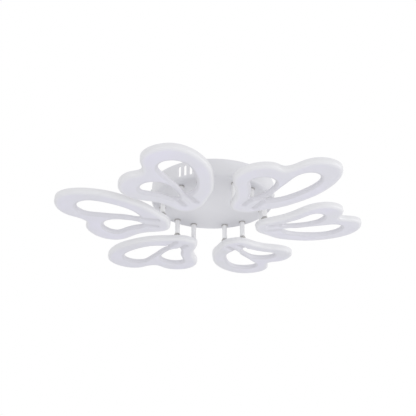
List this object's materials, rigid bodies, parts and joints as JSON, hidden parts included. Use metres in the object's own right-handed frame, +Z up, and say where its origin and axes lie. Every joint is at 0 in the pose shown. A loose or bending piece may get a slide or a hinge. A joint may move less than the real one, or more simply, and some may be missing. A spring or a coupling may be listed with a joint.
{
  "type": "led petal ceiling light",
  "caption": "Low ceiling light with butterfly-wing petals of frosted acrylic, each carried on slim rods under a round white canopy and set in tilt by hand.",
  "frame": {"origin": "middle of the ceiling bracket's top face, in the plane of the ceiling", "axes": "+Z up into the ceiling, +X along the bracket, +Y square to it"},
  "size_m": [0.6295, 0.6005, 0.0898],
  "materials": {
    "white_paint": "satin white powder coat",
    "white_rod": "gloss white enamel on tube",
    "nickel_nut": "dull nickel plate",
    "zinc_steel": "bright zinc plate",
    "frosted_acrylic": "opal acrylic, satin",
    "white_board": "white solder mask",
    "led_phosphor": "yellow phosphor in white package",
    "case_plastic": "fine moulded texture",
    "circuit_board": "green solder mask",
    "component_plastic": "moulded black",
    "block_plastic": "natural nylon",
    "brass_screw": "plain brass",
    "lead_sleeve": "soft white sleeve"
  },
  "bodies": {
    "canopy_body": {"canopy": "white_paint", "ceiling_bracket": "zinc_steel", "canopy_screws": "zinc_steel", "driver_case": "case_plastic", "driver_lid": "case_plastic", "driver_board": "circuit_board", "driver_components": "component_plastic", "terminal_block": "block_plastic", "terminal_screws": "brass_screw", "supply_leads": "lead_sleeve", "earth_lead": "lead_sleeve", "stud_nuts": "zinc_steel", "rod_collars": "nickel_nut", "rod_washers": "nickel_nut", "rod_nuts": "nickel_nut", "petal_leads": "lead_sleeve", "petal_1_rods": "white_rod", "petal_2_rods": "white_rod", "petal_3_rods": "white_rod", "petal_4_rods": "white_rod", "petal_5_rods": "white_rod", "petal_6_rods": "white_rod"},
    "petal_1": {"petal_1_diffuser": "frosted_acrylic", "petal_1_back_plate": "white_paint", "petal_1_plate_screws": "zinc_steel", "petal_1_led_board": "white_board", "petal_1_led_chips": "led_phosphor", "petal_1_swivel_sockets": "nickel_nut"},
    "petal_2": {"petal_2_diffuser": "frosted_acrylic", "petal_2_back_plate": "white_paint", "petal_2_plate_screws": "zinc_steel", "petal_2_led_board": "white_board", "petal_2_led_chips": "led_phosphor", "petal_2_swivel_sockets": "nickel_nut"},
    "petal_3": {"petal_3_diffuser": "frosted_acrylic", "petal_3_back_plate": "white_paint", "petal_3_plate_screws": "zinc_steel", "petal_3_led_board": "white_board", "petal_3_led_chips": "led_phosphor", "petal_3_swivel_sockets": "nickel_nut"},
    "petal_4": {"petal_4_diffuser": "frosted_acrylic", "petal_4_back_plate": "white_paint", "petal_4_plate_screws": "zinc_steel", "petal_4_led_board": "white_board", "petal_4_led_chips": "led_phosphor", "petal_4_swivel_sockets": "nickel_nut"},
    "petal_5": {"petal_5_diffuser": "frosted_acrylic", "petal_5_back_plate": "white_paint", "petal_5_plate_screws": "zinc_steel", "petal_5_led_board": "white_board", "petal_5_led_chips": "led_phosphor", "petal_5_swivel_sockets": "nickel_nut"},
    "petal_6": {"petal_6_diffuser": "frosted_acrylic", "petal_6_back_plate": "white_paint", "petal_6_plate_screws": "zinc_steel", "petal_6_led_board": "white_board", "petal_6_led_chips": "led_phosphor", "petal_6_swivel_sockets": "nickel_nut"}
  },
  "joints": [
    {"name": "petal_1_tilt", "type": "hinge", "parent": "canopy_body", "child": "petal_1", "pos_m": [-0.051, 0.08833, -0.0746], "axis": [0.8653, 0.4996, -0.0419], "range_deg": [-14, 10]},
    {"name": "petal_2_tilt", "type": "hinge", "parent": "canopy_body", "child": "petal_2", "pos_m": [0.051, 0.08833, -0.0746], "axis": [0.8656, -0.4998, -0.0314], "range_deg": [-16.3, 7.7]},
    {"name": "petal_3_tilt", "type": "hinge", "parent": "canopy_body", "child": "petal_3", "pos_m": [0.102, 0, -0.0746], "axis": [0, -0.9994, -0.0349], "range_deg": [-18.9, 5.1]},
    {"name": "petal_4_tilt", "type": "hinge", "parent": "canopy_body", "child": "petal_4", "pos_m": [0.051, -0.08833, -0.0746], "axis": [-0.8649, -0.4994, -0.0506], "range_deg": [-15.2, 8.8]},
    {"name": "petal_5_tilt", "type": "hinge", "parent": "canopy_body", "child": "petal_5", "pos_m": [-0.051, -0.08833, -0.0746], "axis": [-0.8656, 0.4998, -0.0314], "range_deg": [-13.1, 10.9]},
    {"name": "petal_6_tilt", "type": "hinge", "parent": "canopy_body", "child": "petal_6", "pos_m": [-0.102, 0, -0.0746], "axis": [0, 0.9974, -0.0715], "range_deg": [-16.9, 7.1]}
  ]
}
